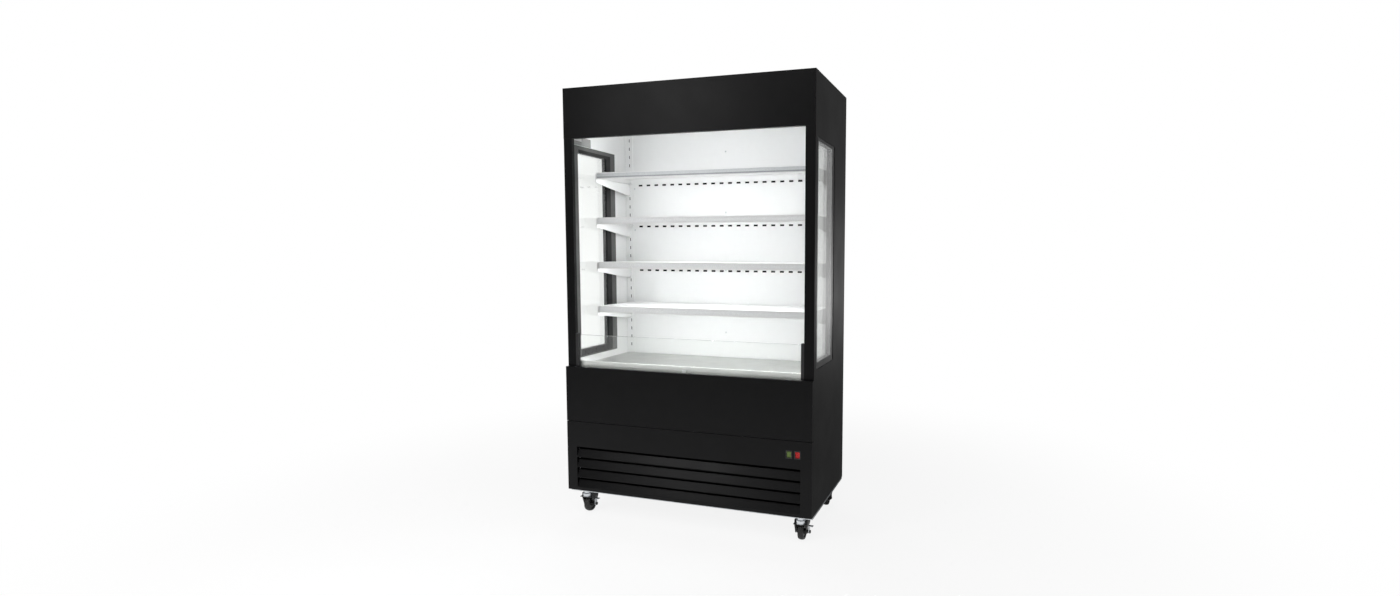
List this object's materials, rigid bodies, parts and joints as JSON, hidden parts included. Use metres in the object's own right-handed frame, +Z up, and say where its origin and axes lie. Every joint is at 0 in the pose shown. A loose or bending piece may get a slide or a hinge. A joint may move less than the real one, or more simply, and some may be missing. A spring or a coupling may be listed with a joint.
{
  "type": "open multideck display fridge",
  "caption": "Upright open-front display fridge with glazed side walls, lit lift-out shelves over a deck, a low glass riser, a louvred service panel and swivel castors.",
  "frame": {"origin": "on the floor under the middle of the overall box", "axes": "+Z up, the open front faces -Y, +X to the right of someone facing the back panel from the front"},
  "size_m": [1.2, 0.595, 2],
  "materials": {
    "black_steel": "satin powder coat",
    "white_steel": "satin powder coat",
    "white_plastic": "matte",
    "black_plastic": "matte",
    "clear_glass": "polished",
    "light_lens": "diffusing lens",
    "galvanised": "galvanised",
    "satin_steel": "satin",
    "zinc": "zinc plated",
    "aluminium_fins": "mill",
    "copper": "drawn copper",
    "black_enamel": "semi-gloss enamel",
    "tyre_black": "moulded",
    "pedal_grey": "zinc plated",
    "switch_green": "gloss",
    "switch_red": "gloss"
  },
  "bodies": {
    "cabinet": {"air_outlet_grille": "white_plastic", "back_duct_panel": "white_steel", "castor_plates": "zinc", "ceiling_duct": "white_steel", "chassis_tray": "galvanised", "compressor": "black_enamel", "condensate_tray": "black_plastic", "condenser_coil": "aluminium_fins", "condenser_fan_shroud": "galvanised", "control_box": "white_plastic", "evaporator_coil": "aluminium_fins", "evaporator_fan_deck": "galvanised", "fascia_panel": "black_steel", "front_upper_panel": "black_steel", "glass_clip": "white_plastic", "glass_end_posts": "black_plastic", "insulated_tub": "white_steel", "panel_screws": "zinc", "rear_panel": "black_steel", "rear_vent_cover": "galvanised", "refrigerant_pipes": "copper", "return_air_grille": "satin_steel", "roof_panel": "black_steel", "service_panel": "black_steel", "shelf_brackets": "white_steel", "shelf_uprights": "white_steel", "side_glass_left": "clear_glass", "side_glass_right": "clear_glass", "side_liner_left": "white_steel", "side_liner_right": "white_steel", "side_panel_left": "black_steel", "side_panel_right": "black_steel", "switch_bezels": "black_plastic", "window_frame_left": "black_plastic", "window_frame_right": "black_plastic"},
    "shelf_1": {"shelf_1": "white_steel", "shelf_light_1": "light_lens"},
    "shelf_2": {"shelf_2": "white_steel", "shelf_light_2": "light_lens"},
    "shelf_3": {"shelf_3": "white_steel", "shelf_light_3": "light_lens"},
    "shelf_4": {"shelf_4": "white_steel", "shelf_light_4": "light_lens"},
    "deck_pan": {"deck_pan": "satin_steel"},
    "glass_riser": {"glass_riser": "clear_glass"},
    "condenser_fan": {"condenser_fan": "black_plastic"},
    "evaporator_fan_left": {"evaporator_fan_left": "black_plastic"},
    "evaporator_fan_right": {"evaporator_fan_right": "black_plastic"},
    "light_rocker": {"light_rocker": "switch_green"},
    "power_rocker": {"power_rocker": "switch_red"},
    "castor_fork_front_left": {"castor_fork_front_left": "black_enamel"},
    "castor_wheel_front_left": {"castor_wheel_front_left": "tyre_black"},
    "castor_pedal_front_left": {"castor_pedal_front_left": "pedal_grey"},
    "castor_fork_front_right": {"castor_fork_front_right": "black_enamel"},
    "castor_wheel_front_right": {"castor_wheel_front_right": "tyre_black"},
    "castor_pedal_front_right": {"castor_pedal_front_right": "pedal_grey"},
    "castor_fork_rear_left": {"castor_fork_rear_left": "black_enamel"},
    "castor_wheel_rear_left": {"castor_wheel_rear_left": "tyre_black"},
    "castor_fork_rear_right": {"castor_fork_rear_right": "black_enamel"},
    "castor_wheel_rear_right": {"castor_wheel_rear_right": "tyre_black"}
  },
  "joints": [
    {"name": "shelf_1_lift_out", "type": "slide", "parent": "cabinet", "child": "shelf_1", "axis": [0, -0.9806, 0.1961], "range_m": [0, 0.53]},
    {"name": "shelf_2_lift_out", "type": "slide", "parent": "cabinet", "child": "shelf_2", "axis": [0, -0.9806, 0.1961], "range_m": [0, 0.53]},
    {"name": "shelf_3_lift_out", "type": "slide", "parent": "cabinet", "child": "shelf_3", "axis": [0, -0.9806, 0.1961], "range_m": [0, 0.53]},
    {"name": "shelf_4_lift_out", "type": "slide", "parent": "cabinet", "child": "shelf_4", "axis": [0, -0.9806, 0.1961], "range_m": [0, 0.53]},
    {"name": "deck_pan_lift", "type": "slide", "parent": "cabinet", "child": "deck_pan", "axis": [0, 0, 1], "range_m": [0, 0.12]},
    {"name": "glass_riser_lift", "type": "slide", "parent": "cabinet", "child": "glass_riser", "axis": [0, 0, 1], "range_m": [0, 0.12]},
    {"name": "condenser_fan_spin", "type": "hinge", "parent": "cabinet", "child": "condenser_fan", "pos_m": [-0.282, -0.1575, 0.273], "axis": [0, 1, 0], "continuous": true},
    {"name": "evaporator_fan_left_spin", "type": "hinge", "parent": "cabinet", "child": "evaporator_fan_left", "pos_m": [-0.25, -0.1755, 0.587], "axis": [0, 1, 0], "continuous": true},
    {"name": "evaporator_fan_right_spin", "type": "hinge", "parent": "cabinet", "child": "evaporator_fan_right", "pos_m": [0.25, -0.1755, 0.587], "axis": [0, 1, 0], "continuous": true},
    {"name": "light_rocker_tilt", "type": "hinge", "parent": "cabinet", "child": "light_rocker", "pos_m": [0.4975, -0.2885, 0.399], "axis": [1, 0, 0], "range_deg": [-18, 0]},
    {"name": "power_rocker_tilt", "type": "hinge", "parent": "cabinet", "child": "power_rocker", "pos_m": [0.5355, -0.2885, 0.399], "axis": [1, 0, 0], "range_deg": [-18, 0]},
    {"name": "castor_swivel_front_left", "type": "hinge", "parent": "cabinet", "child": "castor_fork_front_left", "pos_m": [-0.536, -0.2375, 0.1], "axis": [0, 0, 1], "continuous": true},
    {"name": "castor_roll_front_left", "type": "hinge", "parent": "castor_fork_front_left", "child": "castor_wheel_front_left", "pos_m": [-0.536, -0.2135, 0.0375], "axis": [1, 0, 0], "continuous": true},
    {"name": "castor_brake_front_left", "type": "hinge", "parent": "castor_fork_front_left", "child": "castor_pedal_front_left", "pos_m": [-0.536, -0.2135, 0.0375], "axis": [1, 0, 0], "range_deg": [0, 25]},
    {"name": "castor_swivel_front_right", "type": "hinge", "parent": "cabinet", "child": "castor_fork_front_right", "pos_m": [0.536, -0.2375, 0.1], "axis": [0, 0, 1], "continuous": true},
    {"name": "castor_roll_front_right", "type": "hinge", "parent": "castor_fork_front_right", "child": "castor_wheel_front_right", "pos_m": [0.536, -0.2135, 0.0375], "axis": [1, 0, 0], "continuous": true},
    {"name": "castor_brake_front_right", "type": "hinge", "parent": "castor_fork_front_right", "child": "castor_pedal_front_right", "pos_m": [0.536, -0.2135, 0.0375], "axis": [1, 0, 0], "range_deg": [0, 25]},
    {"name": "castor_swivel_rear_left", "type": "hinge", "parent": "cabinet", "child": "castor_fork_rear_left", "pos_m": [-0.536, 0.2015, 0.1], "axis": [0, 0, 1], "continuous": true},
    {"name": "castor_roll_rear_left", "type": "hinge", "parent": "castor_fork_rear_left", "child": "castor_wheel_rear_left", "pos_m": [-0.536, 0.2255, 0.0375], "axis": [1, 0, 0], "continuous": true},
    {"name": "castor_swivel_rear_right", "type": "hinge", "parent": "cabinet", "child": "castor_fork_rear_right", "pos_m": [0.536, 0.2015, 0.1], "axis": [0, 0, 1], "continuous": true},
    {"name": "castor_roll_rear_right", "type": "hinge", "parent": "castor_fork_rear_right", "child": "castor_wheel_rear_right", "pos_m": [0.536, 0.2255, 0.0375], "axis": [1, 0, 0], "continuous": true}
  ]
}
